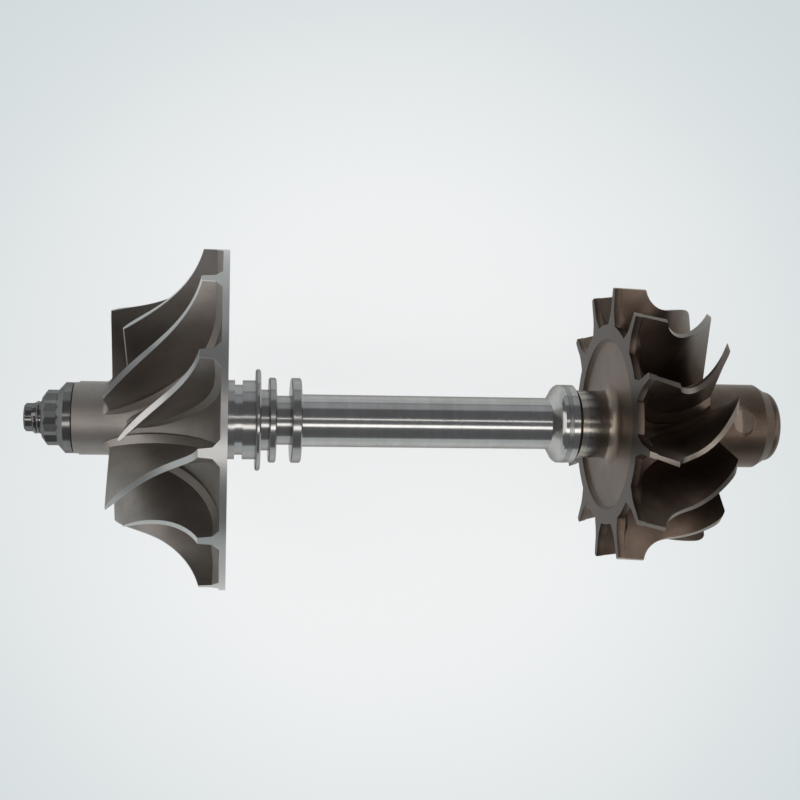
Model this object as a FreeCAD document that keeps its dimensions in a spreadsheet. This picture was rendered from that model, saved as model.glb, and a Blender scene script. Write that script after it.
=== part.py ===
import FreeCAD, Part
import Sketcher
import math
import os

# Turbocharger rotor, lying level
# The rotor axis is X, with the nut end at -X and the turbine nose at +X, and +Z is up.
# The origin is on the axis, halfway along the rotor. Lengths are millimetres, angles degrees.
# Stations are axial distances from the nut end of the shaft, and each body is moved back by
# half the rotor's length.

SHAFT_SIZES = {
    "stub_diameter": 7.1,
    "stub_length": 1.95,
    "stub_chamfer": 0.4,
    "thread_diameter": 8.0,
    "thread_lead": 1.6,
    "thread_show": 2.45,
    "thread_past_nut": 4.0,
    "seat_diameter": 8.6,
    "seat_clearance": 0.02,
    "journal_diameter": 13.5,
    "journal_length": 64.9,
    "boss_diameter": 20.6,
    "boss_cone": 1.3,
    "boss_cone_rise": 2.1,
    "boss_round": 1.4,
    "boss_round_radius": 2.4,
    "boss_land": 3.8,
    "boss_chamfer": 1.1,
    "ring_offset": 0.9,
    "ring_groove_width": 1.25,
    "ring_groove_depth": 1.6,
    "weld_neck_diameter": 17.8,
    "weld_neck_length": 1.6,
}

NUT_SIZES = {
    "nut_corners": 13.9,
    "nut_drive_height": 3.8,
    "nut_bevel": 1.2,
    "nut_bevel_face": 10.6,
    "nut_cone": 1.8,
    "nut_flange_diameter": 17.8,
    "nut_flange_chamfer": 0.35,
    "nut_flange": 2.2,
    "nut_clearance": 0.02,
    "nut_clocking": 5.0,
}

COMPRESSOR_SIZES = {
    "wheel_length": 37.8,
    "wheel_spigot_diameter": 17.9,
    "wheel_spigot": 1.2,
    "wheel_nose_diameter": 18.5,
    "wheel_nose_length": 7.3,
    "exducer_diameter": 86.0,
    "back_disc": 1.6,
    "exit_width": 4.9,
    "inducer_diameter": 56.0,
    "inducer_straight": 2.6,
    "long_blade_length": 28.6,
    "short_blade_length": 24.9,
    "long_blades": 6,
    "wheel_wrap": 40.5,
    "wheel_clocking": 15.0,
    "inlet_angle_tip": 56.0,
    "inlet_angle_hub": 20.0,
    "backsweep": 27.0,
    "wheel_tip_thickness": 1.45,
    "wheel_root_thickness": 2.3,
    "wheel_edge_thickness": 0.55,
    "wheel_edge_share": 0.16,
    "wheel_fillet": 1.6,
    "wheel_fillet_start": 0.35,
    "wheel_blade_bury": 0.9,
    "wheel_blade_over": 1.2,
}

STACK_SIZES = {
    "sleeve_front_land": 1.7,
    "sleeve_groove": 1.95,
    "sleeve_rear_land": 3.25,
    "sleeve_diameter": 20.2,
    "sleeve_groove_diameter": 17.9,
    "flinger_diameter": 26.0,
    "flinger_thickness": 1.25,
    "flinger_chamfer": 0.35,
    "collar_hub_diameter": 15.6,
    "collar_hub_length": 2.1,
    "collar_diameter": 21.8,
    "outer_collar_thickness": 1.85,
    "neck_diameter": 12.6,
    "neck_length": 3.8,
    "inner_collar_thickness": 2.55,
    "collar_chamfer": 0.3,
}

RING_SIZES = {
    "ring_side_clearance": 0.05,
    "ring_inner_clearance": 0.2,
    "ring_gap_angle": 3.0,
}

TURBINE_SIZES = {
    "hub_neck_length": 5.25,
    "hub_neck_fillet": 2.4,
    "recess_depth": 0.9,
    "recess_diameter": 45.4,
    "recess_slope": 0.8,
    "scallop_diameter": 53.0,
    "disc_edge": 1.8,
    "turbine_inlet_diameter": 72.6,
    "turbine_inlet_width": 7.7,
    "turbine_outlet_diameter": 61.8,
    "turbine_shroud_run": 6.9,
    "turbine_blade_length": 25.0,
    "turbine_tip_round": 1.3,
    "turbine_blades": 12,
    "turbine_clocking": 20.2,
    "turbine_crest": 9.2,
    "turbine_inlet_lean": 4.9,
    "turbine_turn": 26.5,
    "turbine_turn_power": 2.2,
    "turbine_tip_thickness": 1.3,
    "turbine_edge_thickness": 1.0,
    "turbine_root_thickness": 2.4,
    "turbine_fillet": 1.9,
    "turbine_fillet_start": 0.1,
    "turbine_fillet_power": 3.0,
    "turbine_blade_bury": 2.9,
    "turbine_blade_over": 1.0,
    "turbine_disc_skin": 0.36,
    "nose_diameter": 22.3,
    "nose_straight": 15.5,
    "nose_cone": 3.1,
    "nose_shoulder_diameter": 18.6,
    "nose_round": 2.2,
    "nose_face_diameter": 14.6,
    "balance_cut_depth": 0.8,
    "balance_cut_radius": 5.5,
    "balance_cut_station": 34.2,
    "balance_cut_angle": -1.5,
}

SIZES = {**SHAFT_SIZES, **NUT_SIZES, **COMPRESSOR_SIZES, **STACK_SIZES, **RING_SIZES, **TURBINE_SIZES}

# Shares of a blade's length, from inlet to outlet, at which its sections are laid
WHEEL_SECTIONS = (0, 0.05, 0.13, 0.25, 0.4, 0.55, 0.7, 0.85, 0.95, 1.03)
TURBINE_SECTIONS = (-0.08, 0, 0.08, 0.16, 0.24, 0.34, 0.46, 0.6, 0.74, 0.88, 1.0, 1.1)


class Length:
    """A length kept both as an expression on the sheet and as its present value."""

    def __init__(self, text, value):
        self.text = text
        self.value = value

    def __add__(self, other):
        return Length(f"{self.text} + {other.text}", self.value + other.value)

    def __sub__(self, other):
        return Length(f"{self.text} - ({other.text})", self.value - other.value)

    def __mul__(self, number):
        return Length(f"({self.text}) * {number}", self.value * number)


ZERO = Length("0", 0.0)


def size(name):
    """The named size from the sheet."""
    return Length(f"Sizes.{name}", float(SIZES[name]))


def half(name):
    """Half of the named size, for a radius from a diameter."""
    return size(name) * 0.5


def present_value(value):
    """A length worked out from several sizes, for an outline that isn't held to the sheet."""
    return Length(str(value), value)


def make_sheet(doc):
    """Write every driving size into the sheet, one alias to a row."""
    sheet = doc.addObject("Spreadsheet::Sheet", "Sizes")
    for row, (name, value) in enumerate(SIZES.items(), start=1):
        sheet.set(f"A{row}", name)
        sheet.set(f"B{row}", str(value))
        sheet.setAlias(f"B{row}", name)
    doc.recompute()
    return sheet


# Stations along the shaft, from its nut end
NUT_OUTER = size("stub_length") + size("thread_show")
NUT_CONE = NUT_OUTER + size("nut_drive_height")
NUT_RIM = NUT_CONE + size("nut_cone")
WHEEL_FRONT = NUT_RIM + size("nut_flange")
WHEEL_BACK = WHEEL_FRONT + size("wheel_length")
SLEEVE_GROOVE = WHEEL_BACK + size("sleeve_front_land")
SLEEVE_REAR = SLEEVE_GROOVE + size("sleeve_groove")
FLINGER_FRONT = SLEEVE_REAR + size("sleeve_rear_land")
SLEEVE_END = FLINGER_FRONT + size("flinger_thickness")
COLLAR_FRONT = SLEEVE_END + size("collar_hub_length")
OUTER_COLLAR_END = COLLAR_FRONT + size("outer_collar_thickness")
INNER_COLLAR_FRONT = OUTER_COLLAR_END + size("neck_length")
SHOULDER = INNER_COLLAR_FRONT + size("inner_collar_thickness")
JOURNAL_END = SHOULDER + size("journal_length")
CONE_END = JOURNAL_END + size("boss_cone")
LAND_FRONT = CONE_END + size("boss_round")
GROOVE_FRONT = LAND_FRONT + size("ring_offset")
GROOVE_REAR = GROOVE_FRONT + size("ring_groove_width")
LAND_REAR = LAND_FRONT + size("boss_land")
WELD_NECK = LAND_REAR + size("boss_chamfer")
WELD = WELD_NECK + size("weld_neck_length")
NECK_END = WELD + size("hub_neck_length")
RECESS_FLOOR = NECK_END + size("hub_neck_fillet")
DISC_BACK = RECESS_FLOOR - size("recess_depth")
BLADE_END = DISC_BACK + size("turbine_blade_length")
NOSE_CONE = BLADE_END + size("nose_straight")
NOSE_ROUND = NOSE_CONE + size("nose_cone")
ROTOR_LENGTH = NOSE_ROUND + size("nose_round")

# Radii that more than one piece uses
BORE_RADIUS = half("seat_diameter") + size("seat_clearance")
GROOVE_RADIUS = half("boss_diameter") - size("ring_groove_depth")
HUB_ARC = half("scallop_diameter") - half("nose_diameter")
WHEEL_ARC = size("wheel_length") - size("wheel_nose_length") - size("back_disc")


def centred(obj):
    """Move a body or primitive from stations to the rotor's own frame."""
    obj.setExpression("Placement.Base.x", f"-0.5 * ({ROTOR_LENGTH.text})")


def corner(station, radius, arc=None, bulge=1):
    """One corner of a turned outline. arc is the radius of the curve that leaves it.

    bulge is 1 for a curve that stands to the left of the run to the next corner, -1 to the right.
    """
    return {"station": station, "radius": radius, "arc": arc, "bulge": bulge}


def arc_middle(start, end, radius, bulge):
    """A point on the shorter arc of the given radius between two points."""
    chord = end - start
    across = FreeCAD.Vector(-chord.y, chord.x, 0)
    across.normalize()
    height = radius - math.sqrt(radius ** 2 - (chord.Length / 2) ** 2)
    return (start + end) * 0.5 + across * (height * bulge)


def outline_edges(corners):
    """Straight and round edges through the corners, at the sizes' present values."""
    points = [FreeCAD.Vector(c["station"].value, c["radius"].value, 0) for c in corners]
    edges = []
    for index, item in enumerate(corners):
        start = points[index]
        end = points[(index + 1) % len(points)]
        if item["arc"] is None:
            edges.append(Part.LineSegment(start, end))
        else:
            middle = arc_middle(start, end, item["arc"].value, item["bulge"])
            edges.append(Part.Arc(start, middle, end))
    return points, edges


def near_end(sketch, index, point):
    """Which end of a sketch edge lies at the point: 1 for its start, 2 for its end."""
    to_start = (sketch.getPoint(index, 1) - point).Length
    to_end = (sketch.getPoint(index, 2) - point).Length
    return 1 if to_start < to_end else 2


def hold_corner(sketch, index, end, item):
    """Bind one corner of the outline to its station and radius."""
    for axis, line, length in (("DistanceX", -2, item["station"]), ("DistanceY", -1, item["radius"])):
        if length.text == "0":
            sketch.addConstraint(Sketcher.Constraint("PointOnObject", index, end, line))
            continue
        number = sketch.addConstraint(Sketcher.Constraint(axis, -1, 1, index, end, length.value))
        sketch.setExpression(f"Constraints[{number}]", length.text)


def outline_sketch(body, name, corners, role="XY_Plane"):
    """A closed outline on one of the body's own planes, held to the sheet corner by corner."""
    plane = next(item for item in body.Origin.OriginFeatures if item.Role == role)
    sketch = body.newObject("Sketcher::SketchObject", name)
    sketch.AttachmentSupport = (plane, [""])
    sketch.MapMode = "FlatFace"
    points, edges = outline_edges(corners)
    numbers = [sketch.addGeometry(edge, False) for edge in edges]
    for place, point in enumerate(points):
        before = numbers[place - 1]
        after = numbers[place]
        ends = (near_end(sketch, before, point), near_end(sketch, after, point))
        sketch.addConstraint(Sketcher.Constraint("Coincident", before, ends[0], after, ends[1]))
        hold_corner(sketch, after, ends[1], corners[place])
        if corners[place]["arc"] is not None:
            arc = corners[place]["arc"]
            number = sketch.addConstraint(Sketcher.Constraint("Radius", after, arc.value))
            sketch.setExpression(f"Constraints[{number}]", arc.text)
    return sketch


def turned(doc, name, corners, role="XY_Plane"):
    """A turned piece: a body whose outline is revolved about the rotor axis."""
    body = doc.addObject("PartDesign::Body", name)
    body.Label = name
    sketch = outline_sketch(body, f"{name}_outline", corners, role)
    turn = body.newObject("PartDesign::Revolution", f"{name}_turned")
    turn.Profile = sketch
    turn.ReferenceAxis = (sketch, ["H_Axis"])
    turn.Angle = 360
    sketch.Visibility = False
    body.Tip = turn
    centred(body)
    return body


def make_shaft(doc):
    """Pilot stub, thread, wheel seat, journal, seal boss with ring groove, and weld face."""
    stub = half("stub_diameter")
    thread = half("thread_diameter")
    seat = half("seat_diameter")
    journal = half("journal_diameter")
    boss = half("boss_diameter")
    neck = half("weld_neck_diameter")
    thread_end = WHEEL_FRONT + size("thread_past_nut")
    corners = [
        corner(ZERO, ZERO),
        corner(ZERO, stub - size("stub_chamfer")),
        corner(size("stub_chamfer"), stub),
        corner(size("stub_length"), stub),
        corner(size("stub_length") + size("thread_lead"), thread),
        corner(thread_end, thread),
        corner(thread_end, seat),
        corner(SHOULDER, seat),
        corner(SHOULDER, journal),
        corner(JOURNAL_END, journal),
        corner(CONE_END, journal + size("boss_cone_rise"), size("boss_round_radius"), 1),
        corner(LAND_FRONT, boss),
        corner(GROOVE_FRONT, boss),
        corner(GROOVE_FRONT, GROOVE_RADIUS),
        corner(GROOVE_REAR, GROOVE_RADIUS),
        corner(GROOVE_REAR, boss),
        corner(LAND_REAR, boss),
        corner(WELD_NECK, neck),
        corner(WELD, neck),
        corner(WELD, ZERO),
    ]
    return turned(doc, "shaft", corners)


def make_seal_ring(doc):
    """The split ring in the shaft's groove, flush with the boss and open at the bottom."""
    side = size("ring_side_clearance")
    inner = GROOVE_RADIUS + size("ring_inner_clearance")
    outer = half("boss_diameter")
    corners = [
        corner(GROOVE_FRONT + side, inner),
        corner(GROOVE_FRONT + side, outer),
        corner(GROOVE_REAR - side, outer),
        corner(GROOVE_REAR - side, inner),
    ]
    ring = turned(doc, "turbine_seal_ring", corners, "XZ_Plane")
    ring.Tip.Midplane = True
    ring.Tip.setExpression("Angle", "360 - Sizes.ring_gap_angle")
    return ring


def make_sleeve(doc):
    """Seal sleeve: two lands with an empty ring groove between them, and the oil flinger."""
    land = half("sleeve_diameter")
    groove = half("sleeve_groove_diameter")
    flinger = half("flinger_diameter")
    edge = size("flinger_chamfer")
    corners = [
        corner(WHEEL_BACK, BORE_RADIUS),
        corner(WHEEL_BACK, land),
        corner(SLEEVE_GROOVE, land),
        corner(SLEEVE_GROOVE, groove),
        corner(SLEEVE_REAR, groove),
        corner(SLEEVE_REAR, land),
        corner(FLINGER_FRONT, land),
        corner(FLINGER_FRONT, flinger - edge),
        corner(FLINGER_FRONT + edge, flinger),
        corner(SLEEVE_END - edge, flinger),
        corner(SLEEVE_END, flinger - edge),
        corner(SLEEVE_END, BORE_RADIUS),
    ]
    return turned(doc, "seal_sleeve", corners)


def make_outer_collar(doc):
    """Thrust collar flange with the hub that spaces it from the flinger."""
    hub = half("collar_hub_diameter")
    rim = half("collar_diameter")
    chamfer = size("collar_chamfer")
    corners = [
        corner(SLEEVE_END, BORE_RADIUS),
        corner(SLEEVE_END, hub),
        corner(COLLAR_FRONT, hub),
        corner(COLLAR_FRONT, rim - chamfer),
        corner(COLLAR_FRONT + chamfer, rim),
        corner(OUTER_COLLAR_END - chamfer, rim),
        corner(OUTER_COLLAR_END, rim - chamfer),
        corner(OUTER_COLLAR_END, BORE_RADIUS),
    ]
    return turned(doc, "thrust_collar_outer", corners)


def make_inner_collar(doc):
    """Thrust collar against the shaft's shoulder, with the neck that the thrust bearing spans."""
    neck = half("neck_diameter")
    rim = half("collar_diameter")
    chamfer = size("collar_chamfer")
    corners = [
        corner(OUTER_COLLAR_END, BORE_RADIUS),
        corner(OUTER_COLLAR_END, neck),
        corner(INNER_COLLAR_FRONT, neck),
        corner(INNER_COLLAR_FRONT, rim - chamfer),
        corner(INNER_COLLAR_FRONT + chamfer, rim),
        corner(SHOULDER - chamfer, rim),
        corner(SHOULDER, rim - chamfer),
        corner(SHOULDER, BORE_RADIUS),
    ]
    return turned(doc, "thrust_collar_inner", corners)


def make_nut_blank(doc):
    """The nut before its points are cut: bevelled drive, cone, flange and plain bore."""
    bore = half("thread_diameter") + size("nut_clearance")
    drive = half("nut_corners")
    flange = half("nut_flange_diameter")
    chamfer = size("nut_flange_chamfer")
    corners = [
        corner(NUT_OUTER, bore),
        corner(NUT_OUTER, half("nut_bevel_face")),
        corner(NUT_OUTER + size("nut_bevel"), drive),
        corner(NUT_CONE, drive),
        corner(NUT_RIM, flange),
        corner(WHEEL_FRONT - chamfer, flange),
        corner(WHEEL_FRONT, flange - chamfer),
        corner(WHEEL_FRONT, bore),
    ]
    return turned(doc, "nut_blank", corners)


def make_hexagon(doc, name, offset):
    """A six-sided bar along the rotor axis over the nut's drive height, turned by an offset."""
    turn = size("nut_clocking").value + offset
    bar = doc.addObject("Part::Prism", name)
    bar.Polygon = 6
    bar.setExpression("Circumradius", half("nut_corners").text)
    bar.setExpression("Height", size("nut_drive_height").text)
    bar.Placement.Rotation = (
        FreeCAD.Rotation(FreeCAD.Vector(1, 0, 0), turn)
        * FreeCAD.Rotation(FreeCAD.Vector(0, 1, 0), 90)
    )
    bar.setExpression("Placement.Base.x", f"{NUT_OUTER.text} - 0.5 * ({ROTOR_LENGTH.text})")
    return bar


def make_nut(doc):
    """Twelve-point flange nut: the blank kept only inside two crossed hexagons and a flange bar."""
    first = make_hexagon(doc, "nut_hexagon_first", 0)
    second = make_hexagon(doc, "nut_hexagon_second", 30)
    bar = doc.addObject("Part::Cylinder", "nut_flange_bar")
    bar.setExpression("Radius", half("nut_flange_diameter").text)
    bar.setExpression("Height", (WHEEL_FRONT - NUT_CONE).text)
    bar.Placement.Rotation = FreeCAD.Rotation(FreeCAD.Vector(0, 1, 0), 90)
    bar.setExpression("Placement.Base.x", f"{NUT_CONE.text} - 0.5 * ({ROTOR_LENGTH.text})")
    points = doc.addObject("Part::MultiFuse", "nut_points")
    points.Shapes = [first, second, bar]
    nut = doc.addObject("Part::Common", "shaft_nut")
    nut.Base = make_nut_blank(doc)
    nut.Tool = points
    nut.Label = "shaft_nut"
    return nut


def make_compressor_hub(doc):
    """The compressor wheel without blades: bored hub that sweeps out into the back disc."""
    nose = half("wheel_nose_diameter")
    spigot = half("wheel_spigot_diameter")
    rim = half("exducer_diameter")
    disc_front = WHEEL_BACK - size("back_disc")
    corners = [
        corner(WHEEL_FRONT, BORE_RADIUS),
        corner(WHEEL_FRONT, spigot),
        corner(WHEEL_FRONT + size("wheel_spigot"), spigot),
        corner(WHEEL_FRONT + size("wheel_spigot"), nose),
        corner(WHEEL_FRONT + size("wheel_nose_length"), nose, WHEEL_ARC, -1),
        corner(disc_front, nose + WHEEL_ARC),
        corner(disc_front, rim),
        corner(WHEEL_BACK, rim),
        corner(WHEEL_BACK, BORE_RADIUS),
    ]
    return turned(doc, "compressor_hub", corners)


def make_turbine_hub(doc):
    """The turbine casting without blades: weld neck, dished disc, hub curve and nose."""
    neck = half("weld_neck_diameter")
    fillet = size("hub_neck_fillet")
    recess = half("recess_diameter")
    scallop = half("scallop_diameter")
    nose = half("nose_diameter")
    shoulder = half("nose_shoulder_diameter")
    face = half("nose_face_diameter")
    disc_front = DISC_BACK + size("disc_edge")
    corners = [
        corner(WELD, ZERO),
        corner(WELD, neck),
        corner(NECK_END, neck, fillet, -1),
        corner(RECESS_FLOOR, neck + fillet),
        corner(RECESS_FLOOR, recess - size("recess_slope")),
        corner(DISC_BACK, recess),
        corner(DISC_BACK, scallop),
        corner(disc_front, scallop, HUB_ARC, -1),
        corner(disc_front + HUB_ARC, nose),
        corner(NOSE_CONE, nose),
        corner(NOSE_ROUND, shoulder, shoulder - face, 1),
        corner(ROTOR_LENGTH, face),
        corner(ROTOR_LENGTH, ZERO),
    ]
    return turned(doc, "turbine_hub", corners)


def polar(station, radius, angle):
    """A point by station, radius and angle from the top, turning towards -Y."""
    turn = math.radians(angle)
    return FreeCAD.Vector(station, -radius * math.sin(turn), radius * math.cos(turn))


class Path:
    """A blade edge in the meridian plane, followed by its length from inlet to outlet."""

    def __init__(self, corners):
        edges = outline_edges(corners)[1][:-1]
        self.edges = [edge.toShape() for edge in edges]
        self.length = sum(edge.Length for edge in self.edges)

    def point(self, fraction):
        """The station and radius at a share of the length, carried on straight past each end."""
        first = self.edges[0]
        last = self.edges[-1]
        if fraction < 0:
            return first.firstVertex(True).Point + self.heading(first, 0) * (fraction * self.length)
        if fraction > 1:
            beyond = (fraction - 1) * self.length
            return last.lastVertex(True).Point + self.heading(last, last.Length) * beyond
        left = fraction * self.length
        for edge in self.edges[:-1]:
            if left <= edge.Length:
                return edge.valueAt(edge.getParameterByLength(left))
            left -= edge.Length
        return last.valueAt(last.getParameterByLength(min(left, last.Length)))

    def heading(self, edge, distance):
        """The direction of travel at a distance along one edge."""
        return edge.tangentAt(edge.getParameterByLength(distance)).normalize()


class Blade:
    """A blade as flat sections between its foot on the hub and its tip on the shroud."""

    def __init__(self, foot_path, tip_path, foot_angle, tip_angle, widths, bury, over):
        self.foot_path = foot_path
        self.tip_path = tip_path
        self.foot_angle = foot_angle
        self.tip_angle = tip_angle
        self.widths = widths
        self.bury = bury
        self.over = over

    def foot(self, fraction):
        """The blade's centre line where it meets the hub."""
        place = self.foot_path.point(fraction)
        return polar(place.x, place.y, self.foot_angle(fraction))

    def tip(self, fraction):
        """The blade's centre line under the shroud."""
        place = self.tip_path.point(fraction)
        return polar(place.x, place.y, self.tip_angle(fraction))

    def across(self, fraction, step=0.01):
        """The direction through the blade's thickness, at the middle of its height."""
        ahead = self.foot(fraction + step) + self.tip(fraction + step)
        behind = self.foot(fraction - step) + self.tip(fraction - step)
        span = self.tip(fraction) - self.foot(fraction)
        return span.cross(ahead - behind).normalize()

    def section(self, fraction):
        """One flat section, from below the hub surface to past the shroud, with a flared foot."""
        foot = self.foot(fraction)
        span = (self.tip(fraction) - foot).normalize()
        side = self.across(fraction)
        root, tip, flare = self.widths(fraction)
        rungs = [
            (foot - span * self.bury, root / 2 + flare),
            (foot, root / 2 + flare),
            (foot + span * flare, root / 2),
            (self.tip(fraction) + span * self.over, tip / 2),
        ]
        left = [point + side * width for point, width in rungs]
        right = [point - side * width for point, width in reversed(rungs)]
        return Part.makePolygon(left + right + [left[0]])

    def solid(self, fractions):
        """The blade lofted through its sections."""
        return Part.makeLoft([self.section(fraction) for fraction in fractions], True, False)


def solid_of_revolution(corners):
    """The solid that a blade's inlet, tip and outlet edges are trimmed to."""
    edges = outline_edges(corners)[1]
    face = Part.Face(Part.Wire([edge.toShape() for edge in edges]))
    return face.revolve(FreeCAD.Vector(0, 0, 0), FreeCAD.Vector(1, 0, 0), 360)


def blade_row(doc, name, blade, count, clocking):
    """Equally spaced copies of one blade about the rotor axis, each a feature of its own."""
    row = []
    for number in range(count):
        angle = clocking + number * 360.0 / count
        feature = doc.addObject("Part::Feature", f"{name}_{number + 1}")
        feature.Shape = blade
        feature.Placement.Rotation = FreeCAD.Rotation(FreeCAD.Vector(1, 0, 0), angle)
        centred(feature)
        row.append(feature)
    return row


def wheel_turn(fraction, total, inlet_slope, exit_slope):
    """Angle that a compressor blade has still to turn, by a cubic with the given end slopes."""
    left = 1 - fraction
    square = 3 * total - inlet_slope - 2 * exit_slope
    cube = inlet_slope + exit_slope - 2 * total
    return exit_slope * left + square * left ** 2 + cube * left ** 3


def turn_rate(angle, length, radius):
    """Degrees turned over a whole path, for a blade angle from the meridian at a radius."""
    return math.degrees(math.tan(math.radians(angle)) * length / radius)


def wheel_angle(path, inlet_angle, inlet_radius):
    """The turning rule of one edge of the compressor blades."""
    total = size("wheel_wrap").value
    inlet = turn_rate(inlet_angle, path.length, inlet_radius)
    leaving = turn_rate(size("backsweep").value, path.length, half("exducer_diameter").value)
    return lambda fraction: wheel_turn(fraction, total, inlet, leaving)


def wheel_widths(start):
    """Root, tip and flare widths of a compressor blade whose sharp inlet edge is at start."""
    root = size("wheel_root_thickness").value
    tip = size("wheel_tip_thickness").value
    edge = size("wheel_edge_thickness").value
    fillet = size("wheel_fillet").value
    least = size("wheel_fillet_start").value
    share = size("wheel_edge_share").value

    def widths(fraction):
        grown = math.sqrt(min(1.0, max(0.0, (fraction - start) / share)))
        return (
            edge + (root - edge) * grown,
            edge + (tip - edge) * grown,
            fillet * (least + (1 - least) * grown),
        )

    return widths


def make_compressor_wheel(doc):
    """Hub with six long and six short backswept blades, all one casting."""
    hub = make_compressor_hub(doc)
    nose = half("wheel_nose_diameter")
    rim = half("exducer_diameter")
    eye = half("inducer_diameter")
    disc_front = WHEEL_BACK - size("back_disc")
    exit_front = disc_front - size("exit_width")
    sweep_start = WHEEL_FRONT + size("wheel_nose_length")
    inlet = WHEEL_BACK - size("long_blade_length")
    straight_end = inlet + size("inducer_straight")
    rise = (rim - eye).value
    run = (exit_front - straight_end).value
    shroud_radius = present_value((rise ** 2 + run ** 2) / (2 * rise))
    foot_path = Path([
        corner(sweep_start, nose, WHEEL_ARC, -1),
        corner(disc_front, nose + WHEEL_ARC),
        corner(disc_front, rim),
    ])
    tip_path = Path([
        corner(inlet, eye),
        corner(straight_end, eye, shroud_radius, -1),
        corner(exit_front, rim),
    ])
    edge_fillet = inlet - sweep_start
    trim = solid_of_revolution([
        corner(sweep_start, ZERO),
        corner(sweep_start, nose, edge_fillet, -1),
        corner(inlet, nose + edge_fillet),
        corner(inlet, eye),
        corner(straight_end, eye, shroud_radius, -1),
        corner(exit_front, rim),
        corner(WHEEL_BACK - half("back_disc"), rim),
        corner(WHEEL_BACK - half("back_disc"), ZERO),
    ])
    foot_angle = wheel_angle(foot_path, size("inlet_angle_hub").value, nose.value)
    tip_angle = wheel_angle(tip_path, size("inlet_angle_tip").value, eye.value)
    late = (size("long_blade_length") - size("short_blade_length")).value / tip_path.length
    bury = size("wheel_blade_bury").value
    over = size("wheel_blade_over").value
    count = int(size("long_blades").value)
    clocking = size("wheel_clocking").value
    rows = []
    for name, start, turn in (("long_blade", 0, 0), ("short_blade", late, 180 / count)):
        blade = Blade(foot_path, tip_path, foot_angle, tip_angle, wheel_widths(start), bury, over)
        solid = blade.solid([start + (1 - start) * share for share in WHEEL_SECTIONS]).common(trim)
        rows += blade_row(doc, name, solid, count, clocking + turn)
    wheel = doc.addObject("Part::MultiFuse", "compressor_wheel")
    wheel.Shapes = [hub] + rows
    wheel.Label = "compressor_wheel"
    return wheel


def turbine_angle(path):
    """The turning rule of one edge of the turbine blades, by the station along its path.

    A slight lean at the inlet fades out at the crest, and the turn to the outlet starts there.
    """
    crest = size("turbine_crest").value
    run = size("turbine_blade_length").value - crest
    lean = size("turbine_inlet_lean").value
    turn = size("turbine_turn").value
    power = size("turbine_turn_power").value

    def angle(fraction):
        beyond = path.point(fraction).x - DISC_BACK.value - crest
        if beyond < 0:
            return -lean * (beyond / crest) ** 2
        return -turn * (beyond / run) ** power

    return angle


def turbine_widths(path):
    """Root, tip and flare widths: the blade's back edge thickens from its tip to the disc."""
    tip = size("turbine_tip_thickness").value
    edge = size("turbine_edge_thickness").value
    root = size("turbine_root_thickness").value
    outer = half("turbine_inlet_diameter").value
    scallop = half("scallop_diameter").value
    fillet = size("turbine_fillet").value
    least = size("turbine_fillet_start").value
    power = size("turbine_fillet_power").value

    def widths(fraction):
        grown = min(1.0, max(0.0, (outer - path.point(fraction).y) / (outer - scallop)))
        flare = fillet * (least + (1 - least) * grown ** power)
        return edge + (root - edge) * grown, tip, flare

    return widths


def make_turbine_wheel(doc):
    """Hub and twelve radial-flow blades, all one casting, with a balance cut in the nose."""
    hub = make_turbine_hub(doc)
    inner = half("nose_diameter")
    scallop = half("scallop_diameter")
    outer = half("turbine_inlet_diameter")
    exit_radius = half("turbine_outlet_diameter")
    rise = outer - exit_radius
    run = size("turbine_shroud_run")
    shroud = present_value((rise.value ** 2 + run.value ** 2) / (2 * rise.value))
    disc_front = DISC_BACK + size("disc_edge")
    inlet_front = DISC_BACK + size("turbine_inlet_width")
    tip_round = size("turbine_tip_round")
    inside = RECESS_FLOOR + size("turbine_disc_skin")
    ring_inner = half("recess_diameter") + half("recess_slope")
    foot_path = Path([
        corner(disc_front, outer),
        corner(disc_front, scallop, HUB_ARC, -1),
        corner(disc_front + HUB_ARC, inner),
        corner(BLADE_END, inner),
    ])
    tip_path = Path([
        corner(inlet_front, outer, shroud, -1),
        corner(inlet_front + run, exit_radius),
        corner(BLADE_END, exit_radius),
    ])
    trim = solid_of_revolution([
        corner(inside, ZERO),
        corner(inside, ring_inner),
        corner(DISC_BACK, ring_inner),
        corner(DISC_BACK, outer),
        corner(inlet_front, outer, shroud, -1),
        corner(inlet_front + run, exit_radius),
        corner(BLADE_END - tip_round, exit_radius, tip_round, 1),
        corner(BLADE_END, exit_radius - tip_round),
        corner(BLADE_END, ZERO),
    ])
    angles = (turbine_angle(foot_path), turbine_angle(tip_path))
    bury = size("turbine_blade_bury").value
    over = size("turbine_blade_over").value
    blade = Blade(foot_path, tip_path, *angles, turbine_widths(foot_path), bury, over)
    solid = blade.solid(TURBINE_SECTIONS).common(trim)
    count = int(size("turbine_blades").value)
    row = blade_row(doc, "turbine_blade", solid, count, size("turbine_clocking").value)
    casting = doc.addObject("Part::MultiFuse", "turbine_casting")
    casting.Shapes = [hub] + row
    wheel = doc.addObject("Part::Cut", "turbine_wheel")
    wheel.Base = casting
    wheel.Tool = make_balance_cutter(doc)
    wheel.Label = "turbine_wheel"
    return wheel


def make_balance_cutter(doc):
    """The grinding wheel's track across the side of the nose."""
    angle = FreeCAD.Rotation(FreeCAD.Vector(1, 0, 0), size("balance_cut_angle").value)
    cutter = doc.addObject("Part::Cylinder", "balance_cutter")
    cutter.setExpression("Radius", size("balance_cut_radius").text)
    cutter.setExpression("Height", size("nose_diameter").text)
    station = DISC_BACK + size("balance_cut_station") - ROTOR_LENGTH * 0.5
    lift = half("nose_diameter") + size("balance_cut_radius") - size("balance_cut_depth")
    along = half("nose_diameter").value
    spot = FreeCAD.Vector(station.value, along, lift.value)
    cutter.Placement = FreeCAD.Placement(
        angle.multVec(spot), angle * FreeCAD.Rotation(FreeCAD.Vector(1, 0, 0), 90)
    )
    return cutter


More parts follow.
